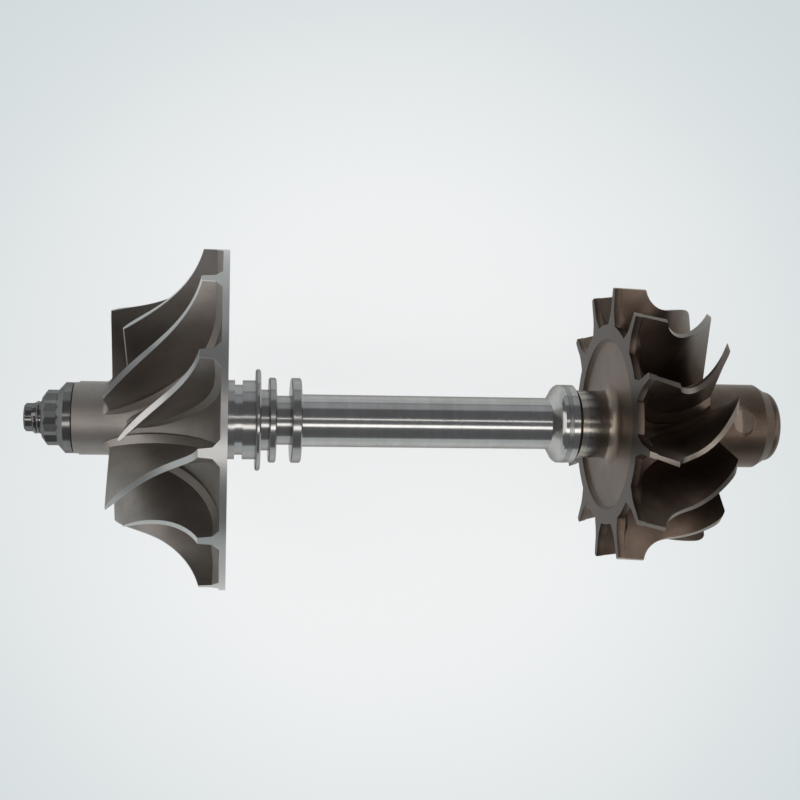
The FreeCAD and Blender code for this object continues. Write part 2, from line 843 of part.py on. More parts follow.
def check_document(doc):
    """Stop if any object of the document failed to build."""
    for obj in doc.Objects:
        if "Invalid" in obj.State or "Error" in obj.State:
            raise RuntimeError(f"{obj.Name} failed to build: {obj.State}")


def check_piece(piece):
    """Stop unless the piece is one valid closed solid."""
    shape = piece.Shape
    if shape.isNull() or not shape.isValid() or len(shape.Solids) != 1:
        raise RuntimeError(f"{piece.Label} is not one valid solid")
    print(f"{piece.Label}: {shape.Volume:.1f} mm3, {len(shape.Faces)} faces")


def main():
    """Build the rotor and write each piece to its own file."""
    doc = FreeCAD.newDocument("rotor")
    make_sheet(doc)
    pieces = [
        make_shaft(doc),
        make_seal_ring(doc),
        make_sleeve(doc),
        make_outer_collar(doc),
        make_inner_collar(doc),
        make_nut(doc),
        make_compressor_wheel(doc),
        make_turbine_wheel(doc),
    ]
    doc.recompute()
    check_document(doc)
    for piece in pieces:
        check_piece(piece)
    os.makedirs("parts", exist_ok=True)
    for piece in pieces:
        piece.Shape.exportStep(f"parts/{piece.Label}.step")


main()
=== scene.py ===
"""Dressing of a turbocharger rotor: finishes, cut thread, floor, light and camera."""

import logging
import math
from dataclasses import dataclass
from enum import Enum
from typing import Any, TypeAlias

import bmesh
import bpy
from mathutils import Matrix, Vector


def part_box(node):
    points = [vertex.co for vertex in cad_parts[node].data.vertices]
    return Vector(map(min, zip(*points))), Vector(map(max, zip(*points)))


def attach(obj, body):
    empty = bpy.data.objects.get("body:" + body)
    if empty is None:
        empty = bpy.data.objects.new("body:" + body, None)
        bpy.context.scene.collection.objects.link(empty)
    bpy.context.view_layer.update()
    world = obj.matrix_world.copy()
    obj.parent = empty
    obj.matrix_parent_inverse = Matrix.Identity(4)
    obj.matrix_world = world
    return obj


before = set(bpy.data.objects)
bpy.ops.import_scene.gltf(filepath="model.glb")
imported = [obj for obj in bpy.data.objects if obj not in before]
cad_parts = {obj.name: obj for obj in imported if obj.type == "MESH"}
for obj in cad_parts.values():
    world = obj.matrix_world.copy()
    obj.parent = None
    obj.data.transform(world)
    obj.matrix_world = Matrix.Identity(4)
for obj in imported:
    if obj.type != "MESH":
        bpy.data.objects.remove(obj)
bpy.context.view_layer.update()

LOG = logging.getLogger("rotor")
MM = 0.001
WHEEL_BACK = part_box("compressor_wheel")[1].x
WHEEL_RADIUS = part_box("compressor_wheel")[1].z
WELD_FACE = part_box("turbine_wheel")[0].x
ROTOR_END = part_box("turbine_wheel")[1].x
STUB_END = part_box("shaft")[0].x
NUT_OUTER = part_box("shaft_nut")[0].x

# Where each wheel's turned shroud line passes from its arc to its straight run
COMPRESSOR_BEND = WHEEL_BACK - 26.0 * MM
TURBINE_BEND = WELD_FACE + 21.35 * MM
NECK_RADIUS = 8.9 * MM
RIM_START = 0.2 * MM
RIM_FULL = 0.12 * MM

Colour: TypeAlias = tuple[float, float, float]
Point: TypeAlias = tuple[float, float, float]
Span: TypeAlias = tuple[float, float]
Number: TypeAlias = "float | Wire"
WARM: Colour = (1.0, 0.99, 0.97)
COOL: Colour = (0.9, 0.95, 1.0)
HORIZON: Colour = (0.69, 0.755, 0.765)
NOISE_MIDDLE = 0.5
# Between these two values a noise turns a finish from its dark tone to its light one
NOISE_STEP: Span = (0.3, 0.7)


class Marks(Enum):
    """How the tool marks of a turned surface run."""

    AROUND = "rings along the axis"
    FACE = "rings across a flat face"


@dataclass(frozen=True)
class Pattern:
    """A noise pattern: its waves per metre, its octaves and the strength of the finer ones."""

    scale: float
    detail: float = 3.0
    rough: float = 0.6


class Wire:
    """A number in a shader graph. Arithmetic on it adds Math nodes."""

    def __init__(self, graph: "Graph", socket: bpy.types.NodeSocket) -> None:
        """Wrap one output socket of the graph."""
        self.graph = graph
        self.socket = socket

    def _math(self, operation: str, *values: Any) -> "Wire":
        """Add one Math node.

        Args:
            operation: The node's operation.
            values: Numbers or wires, in the order of its sockets.

        Returns:
            The node's result.
        """
        settings = {"operation": operation}
        node = self.graph.node("ShaderNodeMath", settings, dict(enumerate(values)))
        return Wire(self.graph, node.outputs[0])

    def __add__(self, other: Number) -> "Wire":
        """Sum."""
        return self._math("ADD", self, other)

    def __radd__(self, other: Number) -> "Wire":
        """Sum, the number first."""
        return self._math("ADD", other, self)

    def __sub__(self, other: Number) -> "Wire":
        """Difference."""
        return self._math("SUBTRACT", self, other)

    def __rsub__(self, other: Number) -> "Wire":
        """Difference, the number first."""
        return self._math("SUBTRACT", other, self)

    def __mul__(self, other: Number) -> "Wire":
        """Product."""
        return self._math("MULTIPLY", self, other)

    def __rmul__(self, other: Number) -> "Wire":
        """Product, the number first."""
        return self._math("MULTIPLY", other, self)

    def __abs__(self) -> "Wire":
        """Size without sign."""
        return self._math("ABSOLUTE", self)

    def root(self) -> "Wire":
        """Square root."""
        return self._math("SQRT", self)

    def most(self, other: Number) -> "Wire":
        """The larger of two."""
        return self._math("MAXIMUM", self, other)

    def rise(self, low: float, high: float) -> "Wire":
        """Smooth step.

        Args:
            low: Where the result is 0.
            high: Where the result is 1. It may lie below low.

        Returns:
            A value from 0 to 1.
        """
        settings = {"interpolation_type": "SMOOTHSTEP"}
        flip = low > high
        limits = {"From Min": min(low, high), "From Max": max(low, high)}
        ends = {"To Min": 1.0 if flip else 0.0, "To Max": 0.0 if flip else 1.0}
        node = self.graph.node("ShaderNodeMapRange", settings, {"Value": self, **limits, **ends})
        return Wire(self.graph, node.outputs[0])

    def between(self, low: float, high: float, soft: float) -> "Wire":
        """A band mask.

        Args:
            low: The band's lower edge.
            high: The band's upper edge.
            soft: Width of each edge.

        Returns:
            1 inside the band, 0 outside.
        """
        return self.rise(low - soft, low) * self.rise(high + soft, high)

    def reaches(self, limit: float) -> "Wire":
        """1 where a radius comes up to a turned rim."""
        return self.rise(limit - RIM_START, limit - RIM_FULL)


class Graph:
    """A shader tree and the ways to add to it."""

    def __init__(self, tree: bpy.types.NodeTree) -> None:
        """Start from an empty tree."""
        self.tree = tree
        self.tree.nodes.clear()

    def node(
        self,
        kind: str,
        settings: dict[str, Any] | None = None,
        sockets: dict[Any, Any] | None = None,
    ) -> bpy.types.Node:
        """Add any node.

        Args:
            kind: The node's type name.
            settings: Its properties, set before its sockets.
            sockets: Values or links, by socket name, identifier or number.

        Returns:
            The new node.
        """
        node = self.tree.nodes.new(kind)
        for name, value in (settings or {}).items():
            setattr(node, name, value)
        for name, value in (sockets or {}).items():
            self.plug(self.find(node, name), value)
        return node

    def find(self, node: bpy.types.Node, name: Any) -> bpy.types.NodeSocket:
        """An input socket of a node.

        Args:
            node: The node.
            name: The socket's number, identifier or name.

        Returns:
            The socket.
        """
        if isinstance(name, int):
            return node.inputs[name]
        by_identifier = [item for item in node.inputs if item.identifier == name]
        return by_identifier[0] if by_identifier else node.inputs[name]

    def plug(self, socket: bpy.types.NodeSocket, value: Any) -> None:
        """Link or set one input socket.

        Args:
            socket: The input.
            value: A wire or output to link, or a number or colour to set.
        """
        if isinstance(value, Wire):
            value = value.socket
        if isinstance(value, bpy.types.NodeSocket):
            self.tree.links.new(value, socket)
        elif isinstance(value, tuple) and socket.type == "RGBA":
            socket.default_value = (*value, 1.0)
        else:
            socket.default_value = value

    def place(self) -> tuple[bpy.types.NodeSocket, Wire, Wire, Wire]:
        """Read the object coordinates.

        Returns:
            The position, and its x, y and z as numbers.
        """
        coordinates = self.node("ShaderNodeTexCoord").outputs["Object"]
        parts = self.node("ShaderNodeSeparateXYZ", {}, {0: coordinates}).outputs
        return coordinates, Wire(self, parts[0]), Wire(self, parts[1]), Wire(self, parts[2])

    def join(self, x: Number, y: Number, z: Number) -> bpy.types.NodeSocket:
        """A vector from three numbers."""
        return self.node("ShaderNodeCombineXYZ", {}, {0: x, 1: y, 2: z}).outputs[0]

    def away(self, position: bpy.types.NodeSocket, centre: Point) -> Wire:
        """Distance of a position from a fixed point.

        Args:
            position: The position.
            centre: The fixed point.

        Returns:
            The distance in metres.
        """
        sockets = {0: position, 1: centre}
        node = self.node("ShaderNodeVectorMath", {"operation": "DISTANCE"}, sockets)
        return Wire(self, node.outputs["Value"])

    def noise(self, vector: bpy.types.NodeSocket, pattern: Pattern) -> Wire:
        """Smooth noise from 0 to 1.

        Args:
            vector: Where it is read.
            pattern: Its scale, octaves and roughness.

        Returns:
            The noise as a number.
        """
        sockets = {
            "Vector": vector,
            "Scale": pattern.scale,
            "Detail": pattern.detail,
            "Roughness": pattern.rough,
        }
        return Wire(self, self.node("ShaderNodeTexNoise", {}, sockets).outputs[0])

    def drift(self, noise: Wire, spread: float) -> Wire:
        """The noise, moved to lie about zero and narrowed to a spread."""
        return (noise - NOISE_MIDDLE) * spread

    def lines(self, run: Wire, pattern: Pattern) -> Wire:
        """Noise that changes along one direction only, as tool marks do."""
        return self.noise(self.join(run, 0.0, 0.0), pattern)

    def mix(self, factor: Number, first: Any, second: Any) -> bpy.types.NodeSocket:
        """Blend two colours.

        Args:
            factor: 0 for the first, 1 for the second.
            first: A colour or a socket.
            second: A colour or a socket.

        Returns:
            The blended colour.
        """
        sockets = {"Factor_Float": factor, "A_Color": first, "B_Color": second}
        node = self.node("ShaderNodeMix", {"data_type": "RGBA"}, sockets)
        return next(item for item in node.outputs if item.identifier == "Result_Color")

    def bump(
        self,
        height: Wire,
        depth: float,
        under: bpy.types.NodeSocket | None = None,
    ) -> bpy.types.NodeSocket:
        """A bumped normal.

        Args:
            height: The relief, from 0 to 1.
            depth: Its full depth in metres.
            under: Another bump that it lies on.

        Returns:
            The normal.
        """
        sockets = {"Strength": 1.0, "Distance": depth, "Height": height}
        if under is not None:
            sockets["Normal"] = under
        return self.node("ShaderNodeBump", {}, sockets).outputs[0]


class Surface(Graph):
    """The graph of one material, with a Principled shader before its output."""

    def __init__(self, name: str) -> None:
        """Start a material with its shader and output.

        Args:
            name: The material's name.
        """
        self.material = bpy.data.materials.new(name)
        self.material.use_nodes = True
        super().__init__(self.material.node_tree)
        self.shader = self.node("ShaderNodeBsdfPrincipled")
        self.end = self.node("ShaderNodeOutputMaterial", {}, {"Surface": self.shader.outputs[0]})

    def dress(self, **sockets: Any) -> bpy.types.Material:
        """Set the shader's sockets.

        Args:
            sockets: Values or wires by socket name, with underscores for spaces.

        Returns:
            The material.
        """
        for name, value in sockets.items():
            self.plug(self.shader.inputs[name.replace("_", " ")], value)
        return self.material


@dataclass(frozen=True)
class TurnedSteel:
    """Steel with fine tool marks round the rotor axis.

    A tint colours it within tint_band, and a dark tone covers it up to dark_until. Both lie off
    the rotor unless they are given.
    """

    name: str
    colour: Colour = (0.53, 0.52, 0.505)
    shade: Colour = (0.44, 0.43, 0.415)
    edge: Colour = (0.45, 0.45, 0.45)
    marks: Marks = Marks.AROUND
    mark_scale: float = 7000.0
    band_share: float = 0.08
    band_weight: float = 0.35
    wear: Pattern = Pattern(160.0, 4.0)
    wear_weight: float = 0.65
    smear: Pattern = Pattern(700.0)
    smear_stretch: float = 0.25
    roughness: float = 0.16
    spread: float = 0.1
    depth: float = 0.5e-6
    smear_depth: float = 1.5
    tint: Colour = (0.5, 0.42, 0.33)
    tint_band: Span = (1.0, 1.01)
    tint_soft: float = 3.0 * MM
    tint_patches: Span = (0.2, 0.6)
    tint_cover: float = 0.6
    tint_roughness: float = 0.1
    dark: Colour = (0.2, 0.195, 0.19)
    dark_until: float = -1.0
    dark_soft: float = 0.3 * MM

    def build(self) -> bpy.types.Material:
        """Make the material.

        Returns:
            The finished material.
        """
        graph = Surface(self.name)
        position, x, y, z = graph.place()
        radius = (y * y + z * z).root()
        run = x if self.marks is Marks.AROUND else radius
        fine = graph.lines(run, Pattern(self.mark_scale, 2.0, 0.7))
        broad = graph.lines(run, Pattern(self.mark_scale * self.band_share))
        wear = graph.noise(position, self.wear)
        smear = graph.noise(graph.join(x * self.smear_stretch, y, z), self.smear)
        tone = (broad * self.band_weight + wear * self.wear_weight).rise(*NOISE_STEP)
        base = graph.mix(tone, self.shade, self.colour)
        heat = x.between(*self.tint_band, self.tint_soft) * wear.rise(*self.tint_patches)
        base = graph.mix(heat * self.tint_cover, base, self.tint)
        shadowed = x.rise(self.dark_until + self.dark_soft, self.dark_until)
        base = graph.mix(shadowed, base, self.dark)
        rough = self.roughness + graph.drift((fine + smear) * 0.5, self.spread)
        rough = rough + heat * self.tint_roughness
        relief = graph.bump(fine * 0.7 + broad * 0.3, self.depth)
        relief = graph.bump(smear, self.depth * self.smear_depth, relief)
        return graph.dress(
            Base_Color=base,
            Metallic=1.0,
            Roughness=rough,
            Specular_Tint=self.edge,
            Normal=relief,
        )


@dataclass(frozen=True)
class ShroudLine:
    """The turned contour of a wheel's blade tips: an arc with a straight run beside it.

    The centre of the arc is given by its place along the axis and its distance from it.
    """

    run: Span
    arc_run: Span
    centre: Span
    arc: float
    reach: float = 0.2 * MM
    full: float = 0.12 * MM

    def mask(self, x: Wire, radius: Wire) -> Wire:
        """Where a surface lies on the contour.

        Args:
            x: Distance along the axis.
            radius: Distance from the axis.

        Returns:
            1 on the contour, 0 away from it.
        """
        along = x - self.centre[0]
        out = radius - self.centre[1]
        curved = self.close(abs((along * along + out * out).root() - self.arc))
        curved = curved * x.between(*self.arc_run, self.reach)
        straight = self.close(abs(radius - (self.centre[1] - self.arc)))
        straight = straight * x.between(*self.run, self.reach)
        return curved.most(straight)

    def close(self, gap: Wire) -> Wire:
        """1 where a gap is small."""
        return gap.rise(self.reach, self.full)


@dataclass(frozen=True)
class CastAluminium:
    """Satin cast aluminium whose blade tips, rim and back are turned bright."""

    name: str = "cast_aluminium"
    cast: Colour = (0.38, 0.345, 0.318)
    cast_dark: Colour = (0.29, 0.26, 0.237)
    bright: Colour = (0.5, 0.49, 0.475)
    pore: Colour = (0.15, 0.135, 0.12)
    pore_step: Span = (0.4, 0.3)
    pore_cover: float = 0.3
    cloud: Pattern = Pattern(45.0, 4.0)
    cloud_weight: float = 0.65
    flow: Pattern = Pattern(240.0, 3.0, 0.55)
    flow_weight: float = 0.35
    flow_stretch: float = 0.5
    grain: Pattern = Pattern(2600.0)
    grain_weight: float = 0.4
    pores: Pattern = Pattern(900.0, 4.0, 0.65)
    pore_weight: float = 0.6
    rings: Pattern = Pattern(5200.0, 2.0)
    cast_roughness: float = 0.5
    turned_roughness: float = 0.34
    spread: float = 0.12
    cast_depth: float = 10e-6
    ring_depth: float = 2e-6
    back_edge: Span = (WHEEL_BACK - 0.1 * MM, WHEEL_BACK - 0.05 * MM)
    shroud: ShroudLine = ShroudLine(
        run=(COMPRESSOR_BEND - 2.6 * MM, COMPRESSOR_BEND),
        arc_run=(COMPRESSOR_BEND, WHEEL_BACK - 6.5 * MM),
        centre=(COMPRESSOR_BEND, 48.175 * MM),
        arc=20.175 * MM,
    )

    def turned(self, x: Wire, radius: Wire) -> Wire:
        """Where the casting has been turned: blade tips, disc rim and back face.

        Args:
            x: Distance along the axis.
            radius: Distance from the axis.

        Returns:
            The mask.
        """
        rim = radius.reaches(WHEEL_RADIUS)
        face = x.rise(*self.back_edge)
        return self.shroud.mask(x, radius).most(rim).most(face)

    def build(self) -> bpy.types.Material:
        """Make the material.

        Returns:
            The finished material.
        """
        graph = Surface(self.name)
        position, x, y, z = graph.place()
        radius = (y * y + z * z).root()
        turned = self.turned(x, radius)
        cloud = graph.noise(position, self.cloud)
        grain = graph.noise(position, self.grain)
        pores = graph.noise(position, self.pores)
        rings = graph.lines(x + radius, self.rings)
        flow = graph.noise(graph.join(x * self.flow_stretch, y, z), self.flow)
        tone = (cloud * self.cloud_weight + flow * self.flow_weight).rise(*NOISE_STEP)
        base = graph.mix(tone, self.cast_dark, self.cast)
        base = graph.mix(pores.rise(*self.pore_step) * self.pore_cover, base, self.pore)
        base = graph.mix(turned, base, self.bright)
        cast_rough = self.cast_roughness + graph.drift(grain, self.spread)
        cast_rough = cast_rough + graph.drift(cloud, self.spread)
        turned_rough = self.turned_roughness + graph.drift(rings, self.spread)
        rough = cast_rough + (turned_rough - cast_rough) * turned
        skin = grain * self.grain_weight + pores * self.pore_weight
        relief = graph.bump(skin, self.cast_depth)
        relief = graph.bump(rings * turned, self.ring_depth, relief)
        return graph.dress(Base_Color=base, Metallic=1.0, Roughness=rough, Normal=relief)


@dataclass(frozen=True)
class CastAlloy:
    """Dark heat-resisting casting whose blade tips and weld neck are machined."""

    name: str = "cast_alloy"
    cast: Colour = (0.19, 0.142, 0.112)
    cast_dark: Colour = (0.116, 0.082, 0.061)
    scale: Colour = (0.06, 0.042, 0.032)
    scale_step: Span = (0.4, 0.28)
    scale_cover: float = 0.4
    cloud: Pattern = Pattern(60.0, 4.0)
    cloud_step: Span = (0.32, 0.68)
    cloud_spread: float = 0.12
    grain: Pattern = Pattern(2200.0)
    grain_spread: float = 0.14
    grain_weight: float = 0.35
    sand: Pattern = Pattern(800.0, 4.0, 0.7)
    sand_weight: float = 0.65
    roughness: float = 0.42
    depth: float = 14e-6
    back: Colour = (0.03, 0.025, 0.022)
    back_cover: float = 0.75
    back_run: Span = (WELD_FACE + 8.2 * MM, WELD_FACE + 6.8 * MM)
    back_inside: Span = (NECK_RADIUS + 0.8 * MM, NECK_RADIUS + 2.2 * MM)
    ground: Colour = (0.27, 0.235, 0.205)
    ground_cover: float = 0.8
    ground_polish: float = 0.1
    inlet_radius: float = 36.3 * MM
    shroud: ShroudLine = ShroudLine(
        run=(TURBINE_BEND, TURBINE_BEND + 10.4 * MM),
        arc_run=(TURBINE_BEND - 6.9 * MM, TURBINE_BEND),
        centre=(TURBINE_BEND, 38.008 * MM),
        arc=7.108 * MM,
    )
    neck: Colour = (0.42, 0.385, 0.35)
    neck_cover: float = 0.85
    neck_polish: float = 0.22
    neck_run: Span = (WELD_FACE + 7.5 * MM, WELD_FACE + 4.5 * MM)
    neck_outside: Span = (NECK_RADIUS + 2.0 * MM, NECK_RADIUS + 1.0 * MM)
    # Heat tint from the weld together with a painted warm highlight: a lighter warm band on the
    # neck next to the disc.
    heat: Colour = (0.5, 0.43, 0.3)
    heat_tint_and_highlight_cover: float = 0.6
    heat_tint_and_highlight_run: Span = (WELD_FACE + 5.5 * MM, WELD_FACE + 7.0 * MM)
    heat_tint_and_highlight_soft: float = 1.5 * MM
    cut: Colour = (0.27, 0.225, 0.185)
    cut_cover: float = 0.45
    cut_polish: float = 0.2
    cut_place: Point = (ROTOR_END - 11.55 * MM, 0.3 * MM, 10.8 * MM)
    cut_reach: Span = (3.4 * MM, 2.72 * MM)
    cut_marks: Pattern = Pattern(5000.0, 2.0)
    cut_stretch: float = 0.02
    cut_depth: float = 0.8e-6

    def build(self) -> bpy.types.Material:
        """Make the material.

        Returns:
            The finished material.
        """
        graph = Surface(self.name)
        position, x, y, z = graph.place()
        radius = (y * y + z * z).root()
        turned = self.shroud.mask(x, radius).most(radius.reaches(self.inlet_radius))
        cut = graph.away(position, self.cut_place).rise(*self.cut_reach)
        cloud = graph.noise(position, self.cloud)
        grain = graph.noise(position, self.grain)
        sand = graph.noise(position, self.sand)
        scratches = graph.noise(graph.join(x, y * self.cut_stretch, 0.0), self.cut_marks)
        neck = x.rise(*self.neck_run) * radius.rise(*self.neck_outside)
        # This band is partly heat tint and partly a painted warm highlight along the neck next to
        # the disc.
        heat = x.between(*self.heat_tint_and_highlight_run, self.heat_tint_and_highlight_soft) * neck
        back = x.rise(*self.back_run) * radius.rise(*self.back_inside)
        base = graph.mix(cloud.rise(*self.cloud_step), self.cast_dark, self.cast)
        base = graph.mix(sand.rise(*self.scale_step) * self.scale_cover, base, self.scale)
        base = graph.mix(back * self.back_cover, base, self.back)
        base = graph.mix(turned * self.ground_cover, base, self.ground)
        base = graph.mix(neck * self.neck_cover, base, self.neck)
        base = graph.mix(heat * self.heat_tint_and_highlight_cover, base, self.heat)
        base = graph.mix(cut * self.cut_cover, base, self.cut)
        rough = self.roughness + graph.drift(grain, self.grain_spread)
        rough = rough + graph.drift(cloud, self.cloud_spread)
        rough = rough - turned * self.ground_polish
        rough = rough - cut * self.cut_polish
        rough = rough - neck * self.neck_polish
        skin = grain * self.grain_weight + sand * self.sand_weight
        relief = graph.bump(skin, self.depth)
        relief = graph.bump(scratches * cut, self.cut_depth, relief)
        return graph.dress(Base_Color=base, Metallic=1.0, Roughness=rough, Normal=relief)


@dataclass(frozen=True)
class CutThread:
    """Dark steel with lighter crests, for the thread."""

    name: str = "thread_steel"
    crest: Colour = (0.23, 0.222, 0.215)
    groove: Colour = (0.08, 0.076, 0.072)
    flank: Span = (3.97 * MM, 4.14 * MM)
    height_weight: float = 0.8
    wear: Pattern = Pattern(1500.0)
    wear_weight: float = 0.3
    tone_step: Span = (0.2, 0.9)
    scratches: Pattern = Pattern(12000.0, 2.0)
    scratch_depth: float = 2e-6
    roughness: float = 0.34
    crest_polish: float = 0.12
    spread: float = 0.1

    def build(self) -> bpy.types.Material:
        """Make the material.

        Returns:
            The finished material.
        """
        graph = Surface(self.name)
        position, x, y, z = graph.place()
        height = (y * y + z * z).root().rise(*self.flank)
        wear = graph.noise(position, self.wear)
        tone = (height * self.height_weight + wear * self.wear_weight).rise(*self.tone_step)
        base = graph.mix(tone, self.groove, self.crest)
        rough = self.roughness - height * self.crest_polish + graph.drift(wear, self.spread)
        relief = graph.bump(graph.lines(x, self.scratches), self.scratch_depth)
        return graph.dress(Base_Color=base, Metallic=1.0, Roughness=rough, Normal=relief)


@dataclass(frozen=True)
class FloorPaint:
    """Pale paint, lighter near the part and darker further out as a painted pool of light, that
    keeps a soft shadow of the part.
    """

    name: str = "floor_paint"
    # A painted pool of light: the floor's colour close to the part and far from it.
    pool_light_centre: Colour = (0.94, 0.955, 0.96)
    pool_light_edge: Colour = HORIZON
    pool_light_fade: Span = (0.04, 0.19)
    drift: Pattern = Pattern(12.0, 2.0, 0.5)
    drift_reach: float = 0.01
    glow: float = 0.83
    roughness: float = 0.9
    sheen: float = 0.1

    def build(self) -> bpy.types.Material:
        """Make the material.

        Returns:
            The finished material.
        """
        graph = Surface(self.name)
        position, x, y, _ = graph.place()
        # The painted pool of light: bright round the part and dimmer further out, with a wobbled
        # edge. The glow carries it too.
        drift = graph.drift(graph.noise(position, self.drift), self.drift_reach)
        reach = (x * x + y * y).root() + drift
        base = graph.mix(reach.rise(*self.pool_light_fade), self.pool_light_centre, self.pool_light_edge)
        graph.dress(Base_Color=base, Roughness=self.roughness, Specular_IOR_Level=self.sheen)
        path = graph.node("ShaderNodeLightPath").outputs
        seen = Wire(graph, path["Is Camera Ray"]).most(Wire(graph, path["Is Glossy Ray"]))
        seen = seen.most(Wire(graph, path["Is Transmission Ray"]))
        light = graph.node("ShaderNodeEmission", {}, {"Color": base, "Strength": 1.0})
        shaders = {0: seen * self.glow, 1: graph.shader.outputs[0], 2: light.outputs[0]}
        blend = graph.node("ShaderNodeMixShader", {}, shaders)
        graph.plug(graph.end.inputs[0], blend.outputs[0])
        return graph.material


def dress_node(node: str, material: bpy.types.Material) -> None:
    """Put one material in every slot of a CAD node.

    Args:
        node: The node's name.
        material: Its finish.
    """
    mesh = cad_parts[node].data
    if not mesh.materials:
        mesh.materials.append(material)
    for index in range(len(mesh.materials)):
        mesh.materials[index] = material
    LOG.info("%s is finished in %s", node, material.name)


def piece_from(
    bm: bmesh.types.BMesh,
    name: str,
    material: bpy.types.Material,
) -> bpy.types.Object:
    """Turn a finished bmesh into a piece at the origin.

    Args:
        bm: The mesh, in place.
        name: The piece's name.
        material: Its finish.

    Returns:
        The new object.
    """
    bmesh.ops.recalc_face_normals(bm, faces=bm.faces)
    mesh = bpy.data.meshes.new(name)
    bm.to_mesh(mesh)
    bm.free()
    piece = bpy.data.objects.new(name, mesh)
    bpy.context.scene.collection.objects.link(piece)
    mesh.materials.append(material)
    LOG.info("%s has %d faces", name, len(mesh.polygons))
    return piece


@dataclass
class ShaftAssembly:
    """The shaft with the pieces clamped on it, and the thread cut on its end."""

    stub_length: float = 1.95 * MM
    thread_radius: float = 4.0 * MM
    thread_rise: float = 0.14 * MM
    pitch: float = 1.0 * MM
    root_share: float = 0.84
    crest_share: float = 0.21
    steps_per_turn: int = 48
    clearance: float = 0.05 * MM
    plain_nodes: tuple[str, ...] = ("seal_sleeve", "thrust_collar_outer", "thrust_collar_inner")
    shaft_finish: TurnedSteel = TurnedSteel(
        "ground_steel",
        tint_band=(WELD_FACE - 1.0 * MM, WELD_FACE + 3.0 * MM),
        dark_until=NUT_OUTER + 1.0 * MM,
    )
    collar_finish: TurnedSteel = TurnedSteel(
        "turned_steel",
        colour=(0.46, 0.45, 0.436),
        shade=(0.37, 0.36, 0.35),
        mark_scale=6000.0,
        roughness=0.18,
        depth=0.9e-6,
    )
    ring_finish: TurnedSteel = TurnedSteel(
        "ring_steel",
        colour=(0.42, 0.41, 0.39),
        shade=(0.3, 0.29, 0.28),
        roughness=0.3,
    )
    nut_finish: TurnedSteel = TurnedSteel(
        "nut_steel",
        colour=(0.27, 0.262, 0.254),
        shade=(0.19, 0.184, 0.178),
        marks=Marks.FACE,
        roughness=0.2,
    )
    thread_finish: CutThread = CutThread()

    def thread(self, material: bpy.types.Material) -> bpy.types.Object:
        """The turns of thread that show before the nut, as one ridge wound round the shaft.

        Args:
            material: Its finish.

        Returns:
            The thread.
        """
        half_root = self.pitch * self.root_share * 0.5
        half_crest = self.pitch * self.crest_share * 0.5
        foot = self.thread_radius - self.clearance
        crest = self.thread_radius + self.thread_rise
        start = STUB_END + self.stub_length + half_root + self.clearance
        turns = (NUT_OUTER - half_root - self.clearance - start) / self.pitch
        profile = [
            (start - half_root, foot),
            (start - half_crest, crest),
            (start + half_crest, crest),
            (start + half_root, foot),
        ]
        bm = bmesh.new()
        corners = [bm.verts.new((x, 0.0, radius)) for x, radius in profile]
        section = bm.faces.new(corners)
        steps = max(1, round(turns * self.steps_per_turn))
        bmesh.ops.spin(
            bm,
            geom=[section, *section.edges, *corners],
            cent=(0.0, 0.0, 0.0),
            axis=(1.0, 0.0, 0.0),
            dvec=(turns * self.pitch / steps, 0.0, 0.0),
            angle=math.tau * turns,
            steps=steps,
            use_duplicate=False,
        )
        return piece_from(bm, "shaft_thread", material)

    def build(self) -> None:
        """Dress the shaft, its ring, sleeve, collars and nut, and wind the thread."""
        dress_node("shaft", self.shaft_finish.build())
        collar = self.collar_finish.build()
        for node in self.plain_nodes:
            dress_node(node, collar)
        dress_node("turbine_seal_ring", self.ring_finish.build())
        dress_node("shaft_nut", self.nut_finish.build())
        thread = self.thread(self.thread_finish.build())
        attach(thread, "root")


@dataclass
class Wheels:
    """The two bladed wheels."""

    compressor: str = "compressor_wheel"
    turbine: str = "turbine_wheel"
    rounds: int = 12

    def build(self) -> None:
        """Dress both castings."""
        dress_node(self.compressor, CastAluminium().build())
        dress_node(self.turbine, CastAlloy().build())

    def lowest(self, node: str, slope: float) -> Span:
        """The point of a wheel that lies furthest below a sloping plane.

        Args:
            node: The wheel.
            slope: The plane's rise along the rotor.

        Returns:
            The point's place along the rotor and its height.
        """
        points = ((v.co.x, v.co.z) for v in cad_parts[node].data.vertices)
        return min(points, key=lambda spot: spot[1] - slope * spot[0])

    def resting_plane(self) -> Span:
        """The plane that both wheels lie on.

        Returns:
            The plane's height at the origin and its slope along the rotor.
        """
        slope = 0.0
        for _ in range(self.rounds):
            first = self.lowest(self.compressor, slope)
            second = self.lowest(self.turbine, slope)
            slope = (second[1] - first[1]) / (second[0] - first[0])
        return first[1] - slope * first[0], slope


@dataclass
class Lamp:
    """One soft rectangular lamp that faces the rotor from its own angle."""

    name: str
    width: float
    radiance: float
    tilt: float = 0.0
    swing: float = 0.0
    distance: float = 0.9
    length: float = 1.6
    colour: Colour = WARM

    def build(self) -> None:
        """Hang the lamp, tilted from straight above to the far side or swung to the right."""
        data = bpy.data.lights.new(self.name, "AREA")
        data.shape = "RECTANGLE"
        data.size = self.length
        data.size_y = self.width
        data.energy = self.radiance * math.pi * self.length * self.width
        data.color = self.colour
        lamp = bpy.data.objects.new(self.name, data)
        bpy.context.scene.collection.objects.link(lamp)
        turn = Matrix.Rotation(-math.radians(self.tilt), 4, "X")
        turn = turn @ Matrix.Rotation(math.radians(self.swing), 4, "Y")
        lamp.matrix_world = turn @ Matrix.Translation((0.0, 0.0, self.distance))
        LOG.info("%s is hung with %.1f W", self.name, data.energy)


